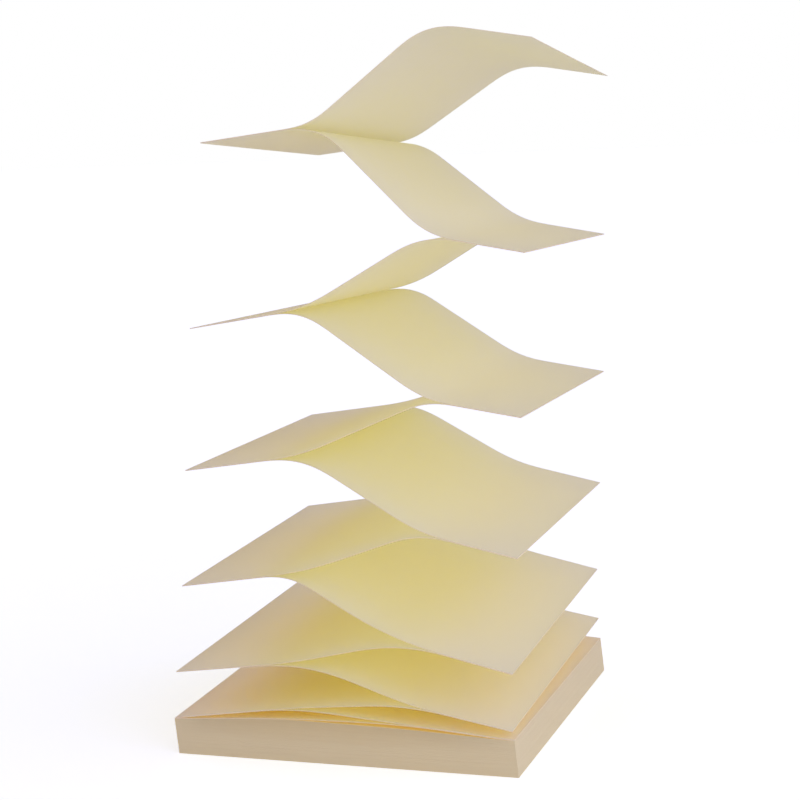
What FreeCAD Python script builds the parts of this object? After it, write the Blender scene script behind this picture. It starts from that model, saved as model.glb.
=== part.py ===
"""Fan-fold pad of square sticky notes, its upper notes pulled up into a zigzag.

Every note is its own square of paper. A strip of adhesive along one edge holds
it to the note below, at the right and at the left in turn. The notes that
still lie flat are one closed block.

Millimetres, +Z up, +X to the right, -Y towards the viewer. The origin is the
middle of the block's underside. Raised notes are numbered from the top down.
"""
import math
import os
from collections import namedtuple

import FreeCAD
import Part

# Paper
NOTE_LENGTH = 76.0
NOTE_WIDTH = 76.0
NOTE_THICKNESS = 0.1

# Closed block, and how far its top stands aside of its foot
NOTES_IN_BLOCK = 77
BLOCK_LEAN_RIGHT = -0.6

# Length of paper that the adhesive still holds at each end of the zigzag
HELD_LEFT = 19.0
HELD_RIGHT = 14.5

# How far each raised note carries the joint at its upper end above the joint at
# its lower end, along the front and along the back of the column
LIFT_01_FRONT = 17.5
LIFT_01_BACK = 15.5
LIFT_02_FRONT = 23.5
LIFT_02_BACK = 20.5
LIFT_03_FRONT = 14.5
LIFT_03_BACK = 15.0
LIFT_04_FRONT = 18.0
LIFT_04_BACK = 17.0
LIFT_05_FRONT = 12.0
LIFT_05_BACK = 11.0
LIFT_06_FRONT = 16.5
LIFT_06_BACK = 15.5
LIFT_07_FRONT = 8.5
LIFT_07_BACK = 7.5
LIFT_08_FRONT = 15.5
LIFT_08_BACK = 13.5
LIFT_09_FRONT = 3.5
LIFT_09_BACK = 4.5
LIFT_10_FRONT = 8.5
LIFT_10_BACK = 7.5
LIFT_11_FRONT = 1.8
LIFT_11_BACK = 3.3
LIFT_12_BACK = 1.6

# How far the lowest raised note keeps off the block at its loose end
REST_GAP = 0.02

# Between its two held strips a note is a bend, a straight run and a bend. The
# last two figures of each row are the shares of that free paper that the left
# bend and the right bend take. The last row is the block's own top note.
Note = namedtuple("Note", "lift_front lift_back left_bend right_bend")
NOTES = (
    Note(LIFT_01_FRONT, LIFT_01_BACK, 0.23, 0.30),
    Note(LIFT_02_FRONT, LIFT_02_BACK, 0.30, 0.26),
    Note(LIFT_03_FRONT, LIFT_03_BACK, 0.31, 0.30),
    Note(LIFT_04_FRONT, LIFT_04_BACK, 0.27, 0.27),
    Note(LIFT_05_FRONT, LIFT_05_BACK, 0.33, 0.24),
    Note(LIFT_06_FRONT, LIFT_06_BACK, 0.34, 0.30),
    Note(LIFT_07_FRONT, LIFT_07_BACK, 0.42, 0.31),
    Note(LIFT_08_FRONT, LIFT_08_BACK, 0.26, 0.56),
    Note(LIFT_09_FRONT, LIFT_09_BACK, 0.33, 0.45),
    Note(LIFT_10_FRONT, LIFT_10_BACK, 0.51, 0.35),
    Note(LIFT_11_FRONT, LIFT_11_BACK, 0.38, 0.41),
    Note(NOTE_THICKNESS, LIFT_12_BACK, 0.40, 0.35),
    Note(NOTE_THICKNESS + REST_GAP, NOTE_THICKNESS + REST_GAP, 0.37, 0.42),
    Note(0.0, 0.0, 0.25, 0.45),
)

# Degrees that the glued ends hang down towards their outer edge: the top note's
# loose end, then each joint from the top down, right and left in turn. The last
# one is inside the block, under its top note.
DROOPS = (10.5, 6.0, 10.5, 8.5, 9.5, 7.5, 12.5, 8.0, 13.0, 7.0, 10.5, 8.0, 4.5, 3.5, 2.5)

BLOCK_HEIGHT = NOTES_IN_BLOCK * NOTE_THICKNESS
FREE_PAPER = NOTE_LENGTH - HELD_LEFT - HELD_RIGHT
BLOCK_TOP_NOTE = len(NOTES)
SECTIONS_ACROSS = 3
HALVINGS = 60


def lower_joint_is_left(number):
    """The top note's lower joint is at the left, the next one's at the right, and so on."""
    return number % 2 == 1


def end_slopes(number):
    """Slopes of a note's held strips at its left and right ends, in radians, uphill to the right."""
    upper, lower = DROOPS[number - 1], DROOPS[number]
    left, right = (lower, upper) if lower_joint_is_left(number) else (upper, lower)
    return math.radians(left), -math.radians(right)


def stretches(number, slope):
    """A note's five stretches from left to right, each with its length and its slope at both ends."""
    note = NOTES[number - 1]
    left, right = end_slopes(number)
    left_bend = FREE_PAPER * note.left_bend
    right_bend = FREE_PAPER * note.right_bend
    return (
        (HELD_LEFT, left, left),
        (left_bend, left, slope),
        (FREE_PAPER - left_bend - right_bend, slope, slope),
        (right_bend, slope, right),
        (HELD_RIGHT, right, right),
    )


def advance(length, start, end):
    """Rightward and upward travel along a stretch whose slope turns evenly from start to end."""
    half_turn = (end - start) / 2
    chord = length if half_turn == 0 else length * math.sin(half_turn) / half_turn
    middle = (start + end) / 2
    return chord * math.cos(middle), chord * math.sin(middle)


def travel(parts):
    """Rightward and upward travel over a whole note."""
    steps = [advance(*part) for part in parts]
    return sum(step[0] for step in steps), sum(step[1] for step in steps)


def shaped(number, rise):
    """A note's stretches, with the middle run sloped so that its right end is above its left end by rise."""
    low, high = -math.pi / 2, math.pi / 2
    for _ in range(HALVINGS):
        middle = (low + high) / 2
        if travel(stretches(number, middle))[1] < rise:
            low = middle
        else:
            high = middle
    return stretches(number, low)


def edges_along(start, parts, y, offset):
    """Lines and arcs of one side of the paper at the depth y, offset upwards from the paper's middle."""
    edges = []
    for length, slope_start, slope_end in parts:
        points = []
        for share in (0.0, 0.5, 1.0):
            slope = slope_start + (slope_end - slope_start) * share
            right, up = advance(length * share, slope_start, slope)
            x = start[0] + right - offset * math.sin(slope)
            z = start[1] + up + offset * math.cos(slope)
            points.append(FreeCAD.Vector(x, y, z))
        if slope_start == slope_end:
            edges.append(Part.makeLine(points[0], points[2]))
        else:
            edges.append(Part.Arc(*points).toShape())
        right, up = advance(length, slope_start, slope_end)
        start = (start[0] + right, start[1] + up)
    return edges


def note_section(start, parts, y):
    """Closed outline of a note at the depth y: upper side, right end, lower side, left end."""
    upper = edges_along(start, parts, y, NOTE_THICKNESS / 2)
    lower = edges_along(start, parts, y, -NOTE_THICKNESS / 2)
    right_end = Part.makeLine(upper[-1].lastVertex().Point, lower[-1].lastVertex().Point)
    left_end = Part.makeLine(lower[0].firstVertex().Point, upper[0].firstVertex().Point)
    return Part.Wire(upper + [right_end] + lower[::-1] + [left_end])


def off_the_glue(slope, side):
    """Step from the glue to the middle of the paper: side is 1 for the note above it, -1 for the one below."""
    half = side * NOTE_THICKNESS / 2
    return -half * math.sin(slope), half * math.cos(slope)


def column_sections(share):
    """Sections of all raised notes, from the top down, at a share of the way from front to back."""
    sections = []
    glue_x, glue_z = BLOCK_LEAN_RIGHT - NOTE_LENGTH / 2, BLOCK_HEIGHT
    for number in range(BLOCK_TOP_NOTE - 1, 0, -1):
        note = NOTES[number - 1]
        lift = note.lift_front + (note.lift_back - note.lift_front) * share
        left, right = end_slopes(number)
        upwards = 1 if lower_joint_is_left(number) else -1
        lower_slope, upper_slope = (left, right) if upwards == 1 else (right, left)
        step_x, step_z = off_the_glue(lower_slope, 1)
        next_x, next_z = off_the_glue(upper_slope, -1)
        climb = lift + next_z - step_z
        parts = shaped(number, upwards * climb)
        run = upwards * travel(parts)[0]
        lower_end = (glue_x + step_x, glue_z + step_z)
        upper_end = (lower_end[0] + run, lower_end[1] + climb)
        start = lower_end if upwards == 1 else upper_end
        sections.append(note_section(start, parts, NOTE_WIDTH * (share - 0.5)))
        glue_x, glue_z = upper_end[0] - next_x, glue_z + lift
    return sections[::-1]


def raised_notes():
    """Each raised note spans its own sections, from the front of the column to the back."""
    shares = [step / (SECTIONS_ACROSS - 1) for step in range(SECTIONS_ACROSS)]
    stations = [column_sections(share) for share in shares]
    return [Part.makeLoft(list(outlines), True, True) for outlines in zip(*stations)]


def note_block():
    """Notes that still lie flat: one solid with its top note's crown, its top a little aside of its foot."""
    y = -NOTE_WIDTH / 2
    crown = edges_along((BLOCK_LEAN_RIGHT - NOTE_LENGTH / 2, BLOCK_HEIGHT), shaped(BLOCK_TOP_NOTE, 0.0), y, 0.0)
    foot_left = FreeCAD.Vector(-NOTE_LENGTH / 2, y, 0.0)
    foot_right = FreeCAD.Vector(NOTE_LENGTH / 2, y, 0.0)
    right_side = Part.makeLine(crown[-1].lastVertex().Point, foot_right)
    left_side = Part.makeLine(foot_left, crown[0].firstVertex().Point)
    outline = Part.Wire(crown + [right_side, Part.makeLine(foot_right, foot_left), left_side])
    return Part.Face(outline).extrude(FreeCAD.Vector(0.0, NOTE_WIDTH, 0.0))


pieces = {"note_block": note_block()}
for number, note in enumerate(raised_notes(), start=1):
    pieces["raised_note_%02d" % number] = note

os.makedirs("parts", exist_ok=True)
for name, shape in pieces.items():
    shape.exportStep("parts/%s.step" % name)
    print(name, "valid", shape.isValid(), "solids", len(shape.Solids), "volume", round(shape.Volume, 2))
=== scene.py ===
"""Fan-fold pad of square sticky notes with its upper notes pulled up into a zigzag.

Sizes are in millimetres, +Z up, +X to the right, -Y towards the viewer, from the
middle of the pad's underside. The raised notes are numbered from the top down.
"""
import math
from collections import namedtuple

import bpy
import numpy as np
from mathutils import Matrix, Vector


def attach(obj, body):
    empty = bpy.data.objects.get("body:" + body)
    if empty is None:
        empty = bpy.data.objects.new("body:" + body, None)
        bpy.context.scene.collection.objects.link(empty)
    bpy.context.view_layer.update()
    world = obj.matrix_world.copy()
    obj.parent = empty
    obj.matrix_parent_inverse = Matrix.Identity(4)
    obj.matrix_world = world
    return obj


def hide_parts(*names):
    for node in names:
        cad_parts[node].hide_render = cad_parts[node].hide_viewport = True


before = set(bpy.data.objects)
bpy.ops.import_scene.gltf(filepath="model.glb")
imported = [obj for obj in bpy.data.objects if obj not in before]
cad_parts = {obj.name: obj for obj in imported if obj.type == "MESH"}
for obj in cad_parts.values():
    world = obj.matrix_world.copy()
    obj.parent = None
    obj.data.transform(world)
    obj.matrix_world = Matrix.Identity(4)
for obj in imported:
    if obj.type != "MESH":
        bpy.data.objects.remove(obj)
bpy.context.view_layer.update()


# Closed block: the notes at the foot of the pad that still lie flat on each other. They are
# uncoated note paper, guillotined square as one stack, so its sides are fine cut edges. The
# glue holds every second edge down, and the top sheets lift a little between their strips.
MM = 0.001
NOTE_LENGTH = 76.0
NOTE_WIDTH = 76.0
NOTE_THICKNESS = 0.1
HELD_LEFT = 19.0
HELD_RIGHT = 14.5
FREE_PAPER = NOTE_LENGTH - HELD_LEFT - HELD_RIGHT
NOTES_IN_BLOCK = 77
BLOCK_HEIGHT = NOTES_IN_BLOCK * NOTE_THICKNESS
BLOCK_LEAN_RIGHT = -0.6
REST_GAP = 0.02

# Climb of each note from its lower joint to its upper one, along the front and the back of
# the column, and the shares of its free paper that its left and right bends take.
Note = namedtuple("Note", "lift_front lift_back left_bend right_bend")
NOTES = (
    Note(17.5, 15.5, 0.23, 0.30),
    Note(23.5, 20.5, 0.30, 0.26),
    Note(14.5, 15.0, 0.31, 0.30),
    Note(18.0, 17.0, 0.27, 0.27),
    Note(12.0, 11.0, 0.33, 0.24),
    Note(16.5, 15.5, 0.34, 0.30),
    Note(8.5, 7.5, 0.42, 0.31),
    Note(15.5, 13.5, 0.26, 0.56),
    Note(3.5, 4.5, 0.33, 0.45),
    Note(8.5, 7.5, 0.51, 0.35),
    Note(1.8, 3.3, 0.38, 0.41),
    Note(NOTE_THICKNESS, 1.6, 0.40, 0.35),
    Note(NOTE_THICKNESS + REST_GAP, NOTE_THICKNESS + REST_GAP, 0.37, 0.42),
    Note(0.0, 0.0, 0.25, 0.45),
)
BLOCK_TOP_NOTE = len(NOTES)

# Degrees that the glued ends hang down towards their outer edge, right and left in turn
# from the top note's loose end down to the joint inside the block.
DROOPS = (10.5, 6.0, 10.5, 8.5, 9.5, 7.5, 12.5, 8.0, 13.0, 7.0, 10.5, 8.0, 4.5, 3.5, 2.5)

# Paper turns gradually into and out of a bend, so a bend reaches a little past its share.
BEND_REACH = 1.3
STEPS_ALONG = 95
# Halvings of the range of slopes in which the middle run's slope is searched for.
HALVINGS = 40


def end_slopes(number):
    """Slopes of a note's held strips at its left and right ends, in radians, uphill to the right."""
    upper, lower = DROOPS[number - 1], DROOPS[number]
    left, right = (lower, upper) if number % 2 == 1 else (upper, lower)
    return math.radians(left), -math.radians(right)


def eased(share):
    """Gradual step from 0 to 1."""
    share = np.clip(share, 0.0, 1.0)
    return share * share * (3.0 - 2.0 * share)


def slopes_along(number, run_slope, places):
    """Slope of a note at places along its length, with its middle run at run_slope."""
    note = NOTES[number - 1]
    left, right = end_slopes(number)
    turned = np.full_like(places, left)
    for middle, width, change in (
        (HELD_LEFT + FREE_PAPER * note.left_bend / 2, FREE_PAPER * note.left_bend, run_slope - left),
        (NOTE_LENGTH - HELD_RIGHT - FREE_PAPER * note.right_bend / 2, FREE_PAPER * note.right_bend,
         right - run_slope),
    ):
        turned = turned + change * eased((places - middle) / (width * BEND_REACH) + 0.5)
    return turned


def paper_line(number, rise):
    """Middle line of a note from its left end, and its slopes, with its right end higher by rise."""
    ends = np.linspace(0.0, NOTE_LENGTH, STEPS_ALONG + 1)
    middles = (ends[1:] + ends[:-1]) / 2
    step = NOTE_LENGTH / STEPS_ALONG
    low, high = -math.pi / 2, math.pi / 2
    for _ in range(HALVINGS):
        run_slope = (low + high) / 2
        slopes = slopes_along(number, run_slope, middles)
        if step * np.sin(slopes).sum() < rise:
            low = run_slope
        else:
            high = run_slope
    line = np.zeros((STEPS_ALONG + 1, 2))
    line[1:, 0] = np.cumsum(step * np.cos(slopes))
    line[1:, 1] = np.cumsum(step * np.sin(slopes))
    return line, slopes_along(number, run_slope, ends)


def new_piece(name, points, faces, uvs, material):
    """Mesh object in metres from points in millimetres, with one map of places on the paper."""
    mesh = bpy.data.meshes.new(name)
    mesh.from_pydata([tuple(MM * value for value in point) for point in points], [], faces)
    layer = mesh.uv_layers.new(name="paper")
    for loop in mesh.loops:
        layer.data[loop.index].uv = uvs[loop.vertex_index]
    mesh.materials.append(material)
    mesh.validate()
    piece = bpy.data.objects.new(name, mesh)
    bpy.context.scene.collection.objects.link(piece)
    return piece


def linear(code):
    """Linear colour of an sRGB hex value, with alpha."""
    channels = [int(code[at:at + 2], 16) / 255 for at in (0, 2, 4)]
    return tuple(c / 12.92 if c <= 0.04045 else ((c + 0.055) / 1.055) ** 2.4 for c in channels) + (1.0,)


def add_node(tree, kind, inputs=None, **settings):
    """Adds a node with its settings; an input is a value or another node's socket."""
    node = tree.nodes.new(kind)
    for name, value in settings.items():
        setattr(node, name, value)
    for name, value in (inputs or {}).items():
        if isinstance(value, bpy.types.NodeSocket):
            tree.links.new(value, node.inputs[name])
        else:
            node.inputs[name].default_value = value
    return node


def mixed_colours(tree, share, first, second):
    """Colour at a share of the way from the first one to the second.

    A Mix node's colours go by number, because its other kinds of value have the same names.
    """
    mix = add_node(tree, "ShaderNodeMix", {"Factor": share, 6: first, 7: second}, data_type="RGBA")
    return mix.outputs[2]


def new_material(name):
    """Material with an empty tree and its output node."""
    material = bpy.data.materials.new(name)
    material.use_nodes = True
    material.node_tree.nodes.clear()
    return material, material.node_tree, material.node_tree.nodes.new("ShaderNodeOutputMaterial")


# Shares of a note's length over which the painted strips at its two ends fade into the free paper.
LEFT_PAINTED_END_FADE = (0.16, 0.34)
RIGHT_PAINTED_END_FADE = (0.60, 0.84)

# Clouds in the pulp are some 3 mm across. The fibres stand up in bumps about 0.4 mm apart, which
# is coarser than real ones, so that they show.
CLOUDS_PER_METRE = 350.0
FIBRE_BUMPS_PER_METRE = 2500.0
FIBRE_HEIGHT = 0.03


def dyed_note_paper(name, darker, lighter, painted_end_tint, shows_through=0.0, right_end_painted=True):
    """Uncoated wood-free paper of about 80 g per square metre, dyed pale yellow in the pulp.

    It is matt and lets the share shows_through of the light pass. The strips at its two ends are painted
    in a colour of their own: paler, as painted sheen, on a raised note, and deeper yellow, as painted
    shade, on the block's top. The right strip can be left out.
    """
    material, tree, output = new_material(name)
    place = add_node(tree, "ShaderNodeTexCoord").outputs["Object"]
    clouds = add_node(tree, "ShaderNodeTexNoise", {
        "Vector": place, "Scale": CLOUDS_PER_METRE, "Detail": 2.0})
    cloudy = mixed_colours(tree, clouds.outputs["Fac"], linear(darker), linear(lighter))
    # The strips at the two ends are painted: paler, as painted sheen, on a raised note, and deeper yellow,
    # as painted shade, on the block's top.
    sheet = add_node(tree, "ShaderNodeUVMap", uv_map="paper")
    along = add_node(tree, "ShaderNodeSeparateXYZ", {0: sheet.outputs[0]}).outputs["X"]
    painted_ends = add_node(tree, "ShaderNodeMapRange", {
        "Value": along, "From Min": LEFT_PAINTED_END_FADE[0], "From Max": LEFT_PAINTED_END_FADE[1],
        "To Min": 1.0, "To Max": 0.0}, interpolation_type="SMOOTHSTEP")
    if right_end_painted:
        from_right = add_node(tree, "ShaderNodeMapRange", {
            "Value": along, "From Min": RIGHT_PAINTED_END_FADE[0], "From Max": RIGHT_PAINTED_END_FADE[1]},
            interpolation_type="SMOOTHSTEP")
        painted_ends = add_node(tree, "ShaderNodeMath", {0: painted_ends.outputs[0], 1: from_right.outputs[0]})
    tint = mixed_colours(tree, painted_ends.outputs[0], cloudy, linear(painted_end_tint))
    fibres = add_node(tree, "ShaderNodeTexNoise", {
        "Vector": place, "Scale": FIBRE_BUMPS_PER_METRE, "Detail": 2.0})
    bump = add_node(tree, "ShaderNodeBump", {
        "Height": fibres.outputs["Fac"], "Strength": 0.4, "Distance": FIBRE_HEIGHT * MM})
    surface = add_node(tree, "ShaderNodeBsdfPrincipled", {
        "Base Color": tint, "Roughness": 0.6, "Specular IOR Level": 0.2,
        "Normal": bump.outputs["Normal"]})
    if shows_through:
        through = add_node(tree, "ShaderNodeBsdfTranslucent", {
            "Color": tint, "Normal": bump.outputs["Normal"]})
        surface = add_node(tree, "ShaderNodeMixShader", {
            0: shows_through, 1: surface.outputs[0], 2: through.outputs[0]})
    tree.links.new(surface.outputs[0], output.inputs["Surface"])
    return material


# The blade leaves streaks some 8 mm long and two or three sheets high, coarser than real ones so
# that they show.
STREAKS_PER_METRE = (120.0, 120.0, 4000.0)
STREAK_DEPTH = 0.04


def guillotined_edges(name, darker, lighter):
    """The cut side of one sheet or of a stack: matt, with hair-fine steps from sheet to sheet."""
    material, tree, output = new_material(name)
    place = add_node(tree, "ShaderNodeTexCoord").outputs["Object"]
    streaked = add_node(tree, "ShaderNodeMapping", {"Vector": place, "Scale": STREAKS_PER_METRE})
    streaks = add_node(tree, "ShaderNodeTexNoise", {
        "Vector": streaked.outputs[0], "Scale": 1.0, "Detail": 3.0, "Roughness": 0.6})
    tint = mixed_colours(tree, streaks.outputs["Fac"], linear(darker), linear(lighter))
    bump = add_node(tree, "ShaderNodeBump", {
        "Height": streaks.outputs["Fac"], "Strength": 0.5, "Distance": STREAK_DEPTH * MM})
    surface = add_node(tree, "ShaderNodeBsdfPrincipled", {
        "Base Color": tint, "Roughness": 0.9, "Normal": bump.outputs["Normal"]})
    tree.links.new(surface.outputs[0], output.inputs["Surface"])
    return material


# The cut edge of each sheet in the stack wanders a little, and a groove parts it from the next
# sheet. The grooves are deeper among the loose sheets at the top, which crown with the top note.
SHEET_GAP = 0.012
LOOSE_SHEETS = 34
EDGE_WANDER = 0.04
EDGE_SEED = 7
PRESSED_GROOVE = 0.05
LOOSE_GROOVE = 0.12
STEPS_ALONG_BLOCK = 40
SHARP_BLOCK_EDGE = 30.0

crown_line = paper_line(BLOCK_TOP_NOTE, 0.0)[0]
crown_x = crown_line[:, 0] / crown_line[-1, 0]
crown_z = np.interp(np.linspace(0.0, 1.0, STEPS_ALONG_BLOCK + 1), crown_x, crown_line[:, 1])


def block_ring(z, crown_share, inset):
    """Outline of the block at one height, from its front left corner to the right and back round."""
    share = z / BLOCK_HEIGHT
    left = -NOTE_LENGTH / 2 + BLOCK_LEAN_RIGHT * share + inset
    top_right = -NOTE_LENGTH / 2 + BLOCK_LEAN_RIGHT + crown_line[-1, 0]
    right = NOTE_LENGTH / 2 + (top_right - NOTE_LENGTH / 2) * share - inset
    y = NOTE_WIDTH / 2 - inset
    xs = np.linspace(left, right, STEPS_ALONG_BLOCK + 1)
    front = [(x, -y, z + lifted * crown_share) for x, lifted in zip(xs, crown_z)]
    return front + [(x, y, z) for x, _, z in reversed(front)]


edge_draw = np.random.default_rng(EDGE_SEED)
rings = []
for sheet in range(NOTES_IN_BLOCK):
    foot = sheet * NOTE_THICKNESS + (SHEET_GAP if sheet else 0.0)
    looseness = max(0.0, (sheet + 1 + LOOSE_SHEETS - NOTES_IN_BLOCK) / LOOSE_SHEETS)
    crown_share = looseness * looseness
    groove = PRESSED_GROOVE + LOOSE_GROOVE * crown_share
    inset = EDGE_WANDER * edge_draw.random()
    if sheet:
        rings.append(block_ring(foot, crown_share, inset + groove))
    rings.append(block_ring(foot, crown_share, inset))
    rings.append(block_ring((sheet + 1) * NOTE_THICKNESS, crown_share, inset))
    if sheet < NOTES_IN_BLOCK - 1:
        rings.append(block_ring((sheet + 1) * NOTE_THICKNESS, crown_share, inset + groove))

around = 2 * (STEPS_ALONG_BLOCK + 1)
points = [point for ring in rings for point in ring]
uvs = [(x / NOTE_LENGTH + 0.5, y / NOTE_WIDTH + 0.5) for x, y, _ in points]
faces = []
for ring in range(len(rings) - 1):
    for place in range(around):
        after = (place + 1) % around
        low, high = ring * around, (ring + 1) * around
        faces.append((low + place, low + after, high + after, high + place))
side_faces = len(faces)
top = (len(rings) - 1) * around
for place in range(STEPS_ALONG_BLOCK):
    across = around - 1 - place
    faces.append((top + place, top + place + 1, top + across - 1, top + across))
    faces.append((across, across - 1, place + 1, place))
cut_sides = guillotined_edges("stacked_cut_edges", "EBDEA9", "EFE5B2")
block = new_piece("closed_block", points, faces, uvs, cut_sides)
# Light that soaks into the whole stack comes back a deeper yellow than from one loose sheet. The strips at
# the two ends of its top are painted deeper yellow still, as painted shade.
block.data.materials.append(dyed_note_paper("stacked_note_paper", "FFEFA8", "FFF1AE", "FFF0A2"))
for face in block.data.polygons[side_faces:]:
    face.material_index = 1
block.data.shade_smooth()
block.data.set_sharp_from_angle(angle=math.radians(SHARP_BLOCK_EDGE))
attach(block, "root")
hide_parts("note_block")


# Raised notes: thirteen single squares of the same paper, each stuck to the next by a strip of
# adhesive along its right and then its left edge. Between the strips the paper is free and
# bends by its own stiffness, which gives each note a long double curve.
STATIONS_ACROSS = 20
SHARP_SHEET_EDGE = 40.0
SHOWS_THROUGH = 0.48


def column_lines(share):
    """Middle line and slopes of every raised note, at a share of the way from front to back."""
    lines = {}
    half = NOTE_THICKNESS / 2
    glue = np.array([BLOCK_LEAN_RIGHT - NOTE_LENGTH / 2, BLOCK_HEIGHT])
    for number in range(BLOCK_TOP_NOTE - 1, 0, -1):
        note = NOTES[number - 1]
        lift = note.lift_front + (note.lift_back - note.lift_front) * share
        left, right = end_slopes(number)
        lower_is_left = number % 2 == 1
        lower_slope, upper_slope = (left, right) if lower_is_left else (right, left)
        lower_end = glue + half * np.array([-math.sin(lower_slope), math.cos(lower_slope)])
        to_glue = half * np.array([-math.sin(upper_slope), math.cos(upper_slope)])
        climb = lift - to_glue[1] - (lower_end[1] - glue[1])
        line, slopes = paper_line(number, climb if lower_is_left else -climb)
        line = line + (lower_end - (line[0] if lower_is_left else line[-1]))
        lines[number] = (line, slopes)
        upper_end = line[-1] if lower_is_left else line[0]
        glue = upper_end + to_glue
    return lines


def sheet_mesh(stations):
    """A thin closed sheet through its lines from front to back.

    Its last value is the number of the first face of the cut edges.
    """
    rows, columns = len(stations), STEPS_ALONG + 1
    points, uvs = [], []
    for side in (1.0, -1.0):
        for row, (line, slopes) in enumerate(stations):
            share = row / (rows - 1)
            out = side * NOTE_THICKNESS / 2 * np.stack([-np.sin(slopes), np.cos(slopes)], axis=1)
            for column, (x, z) in enumerate(line + out):
                points.append((x, NOTE_WIDTH * (share - 0.5), z))
                uvs.append((column / (columns - 1), share))
    under = rows * columns
    faces = []
    for row in range(rows - 1):
        for column in range(columns - 1):
            a = row * columns + column
            b, c, d = a + 1, a + columns + 1, a + columns
            faces.append((a, b, c, d))
            faces.append((under + d, under + c, under + b, under + a))
    rim = list(range(columns))
    rim += [row * columns + columns - 1 for row in range(1, rows)]
    rim += [(rows - 1) * columns + column for column in range(columns - 2, -1, -1)]
    rim += [row * columns for row in range(rows - 2, 0, -1)]
    for first, second in zip(rim, rim[1:] + rim[:1]):
        faces.append((second, first, under + first, under + second))
    return points, faces, uvs, len(faces) - len(rim)


# The raised notes' end strips are painted paler, as painted sheen at their tips.
note_paper = dyed_note_paper("dyed_note_paper", "FFFEDE", "FFFEE4", "FFFEED", SHOWS_THROUGH)
# The top note gets no painted sheen at its right end, which is loose.
top_note_paper = dyed_note_paper(
    "top_note_paper_unpainted_right_end", "FFFEDE", "FFFEE4", "FFFEED", SHOWS_THROUGH, right_end_painted=False)
cut_edge = guillotined_edges("single_cut_edge", "F0E3B8", "F4E8C2")
stations = [column_lines(step / (STATIONS_ACROSS - 1)) for step in range(STATIONS_ACROSS)]
for number in range(1, BLOCK_TOP_NOTE):
    points, faces, uvs, first_cut = sheet_mesh([station[number] for station in stations])
    node = "raised_note_%02d" % number
    paper = top_note_paper if number == 1 else note_paper
    sheet = new_piece("note_%02d_sheet" % number, points, faces, uvs, paper)
    sheet.data.materials.append(cut_edge)
    for face in sheet.data.polygons[first_cut:]:
        face.material_index = 1
    sheet.data.shade_smooth()
    sheet.data.set_sharp_from_angle(angle=math.radians(SHARP_SHEET_EDGE))
    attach(sheet, "root")
    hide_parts(node)


# Table: a sheet of white card under the pad, which bounces light up between the notes. It is
# part of the set, not of the pad, and shows as plain white with the pad's soft shadow on it.
CARD_REACH = 4.0
# The camera alone sees the card lifted to white, with a tint that evens out the tent's light.
CARD_LIFT = 0.52
card_mesh = bpy.data.meshes.new("white_card")
card_corners = [(CARD_REACH * x, CARD_REACH * y, 0.0) for x, y in ((-1, -1), (1, -1), (1, 1), (-1, 1))]
card_mesh.from_pydata(card_corners, [], [(0, 1, 2, 3)])
card = bpy.data.objects.new("white_card", card_mesh)
bpy.context.scene.collection.objects.link(card)
material, tree, output = new_material("white_card")
seen = add_node(tree, "ShaderNodeLightPath").outputs["Is Camera Ray"]
matt = add_node(tree, "ShaderNodeBsdfDiffuse", {"Color": linear("F4F4F4")})
lift = add_node(tree, "ShaderNodeMath", {0: seen, 1: CARD_LIFT}, operation="MULTIPLY")
glow = add_node(tree, "ShaderNodeEmission", {"Color": linear("F5FFEF"), "Strength": lift.outputs[0]})
both = add_node(tree, "ShaderNodeAddShader", {0: matt.outputs[0], 1: glow.outputs[0]})
tree.links.new(both.outputs[0], output.inputs["Surface"])
card_mesh.materials.append(material)


# Light: a white tent around the pad. Cool daylight comes in through its right wall and, weaker,
# through its left one. The front, the back and the top only send some of it back, and warmer.
# Each wall has the direction in which it stands, its level and its tint.
TENT_WALLS = (
    ((1.0, 0.0, 0.0), 1.67, "DAD5FF"),
    ((-1.0, 0.0, 0.0), 1.18, "E2D0FF"),
    ((0.0, -1.0, 0.0), 0.24, "FFF8F7"),
    ((0.0, 1.0, 0.0), 0.11, "FCFAFF"),
    ((0.0, 0.0, 1.0), 0.12, "FEFAFF"),
)
world = bpy.data.worlds.new("light_tent")
bpy.context.scene.world = world
world.use_nodes = True
tree = world.node_tree
tree.nodes.clear()
direction = add_node(tree, "ShaderNodeTexCoord").outputs["Generated"]
tent = add_node(tree, "ShaderNodeBackground", {"Strength": 0.0})
for outwards, level, tint in TENT_WALLS:
    facing = add_node(tree, "ShaderNodeVectorMath", {0: direction, 1: outwards}, operation="DOT_PRODUCT")
    ahead = add_node(tree, "ShaderNodeMath", {0: facing.outputs["Value"], 1: 0.0}, operation="MAXIMUM")
    strength = add_node(tree, "ShaderNodeMath", {0: ahead.outputs[0], 1: level}, operation="MULTIPLY")
    wall = add_node(tree, "ShaderNodeBackground", {"Color": linear(tint), "Strength": strength.outputs[0]})
    tent = add_node(tree, "ShaderNodeAddShader", {0: tent.outputs[0], 1: wall.outputs[0]})
white = add_node(tree, "ShaderNodeBackground", {"Color": linear("FFFFFF"), "Strength": 1.0})
seen = add_node(tree, "ShaderNodeLightPath").outputs["Is Camera Ray"]
either = add_node(tree, "ShaderNodeMixShader", {0: seen, 1: tent.outputs[0], 2: white.outputs[0]})
output = add_node(tree, "ShaderNodeOutputWorld", {"Surface": either.outputs[0]})

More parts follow.
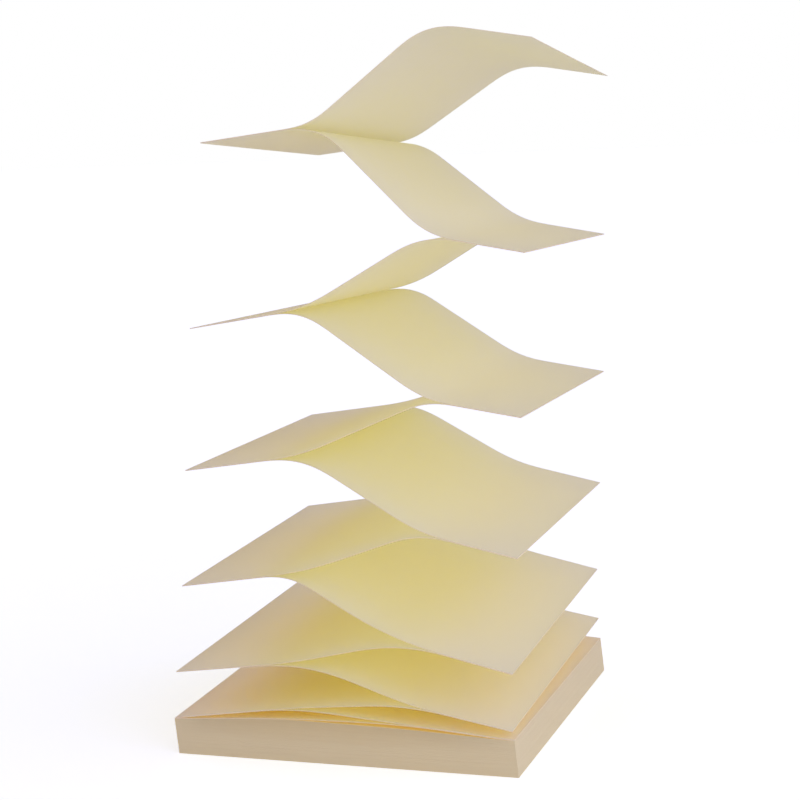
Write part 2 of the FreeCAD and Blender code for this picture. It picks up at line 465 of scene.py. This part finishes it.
# A small low lamp at the front right of the tent, which brightens the near end of the block.
LAMP_AT = Vector((190.0, -230.0, 22.0))
LAMP_AIM = Vector((25.0, -38.0, 6.0))
LAMP_SIDE = 90.0
LAMP_WATTS = 0.12
low_lamp = bpy.data.lights.new("low_lamp", "AREA")
low_lamp.size = LAMP_SIDE * MM
low_lamp.energy = LAMP_WATTS
low_lamp.color = linear("F4F1FF")[:3]
lamp = bpy.data.objects.new("low_lamp", low_lamp)
bpy.context.scene.collection.objects.link(lamp)
lamp.matrix_world = (Matrix.Translation(LAMP_AT * MM)
                     @ (LAMP_AT - LAMP_AIM).to_track_quat("Z", "Y").to_matrix().to_4x4())
lamp.visible_camera = False

# Light goes back and forth between the pale sheets many times, which turns the creases golden.
SHEET_BOUNCES = 80
MOST_BOUNCES = 96
bpy.context.scene.view_settings.view_transform = "Standard"
bpy.context.scene.cycles.max_bounces = MOST_BOUNCES
bpy.context.scene.cycles.diffuse_bounces = SHEET_BOUNCES
bpy.context.scene.cycles.glossy_bounces = SHEET_BOUNCES
bpy.context.scene.cycles.transmission_bounces = SHEET_BOUNCES


# Camera: it stands in front of the pad, to the right and a little above its middle, and looks
# slightly down at it. Its place in millimetres, its turns in degrees and its lens were fitted to
# the corners of the block and of the notes.
CAMERA_AT = Vector((144.83, -402.97, 137.51))
CAMERA_YAW = -19.418
CAMERA_PITCH = 8.803
CAMERA_ROLL = 2.657
FOCAL_PIXELS = 1952.7
PHOTO_PIXELS = 800
SENSOR = 36.0
NEAREST = 10.0
lens = bpy.data.cameras.new("camera")
lens.sensor_width = SENSOR
lens.lens = SENSOR * FOCAL_PIXELS / PHOTO_PIXELS
lens.clip_start = NEAREST * MM
camera = bpy.data.objects.new("camera", lens)
bpy.context.scene.collection.objects.link(camera)
camera.matrix_world = (
    Matrix.Translation(CAMERA_AT * MM)
    @ Matrix.Rotation(math.radians(-CAMERA_YAW), 4, "Z")
    @ Matrix.Rotation(math.radians(90.0 - CAMERA_PITCH), 4, "X")
    @ Matrix.Rotation(math.radians(-CAMERA_ROLL), 4, "Z")
)
bpy.context.scene.camera = camera
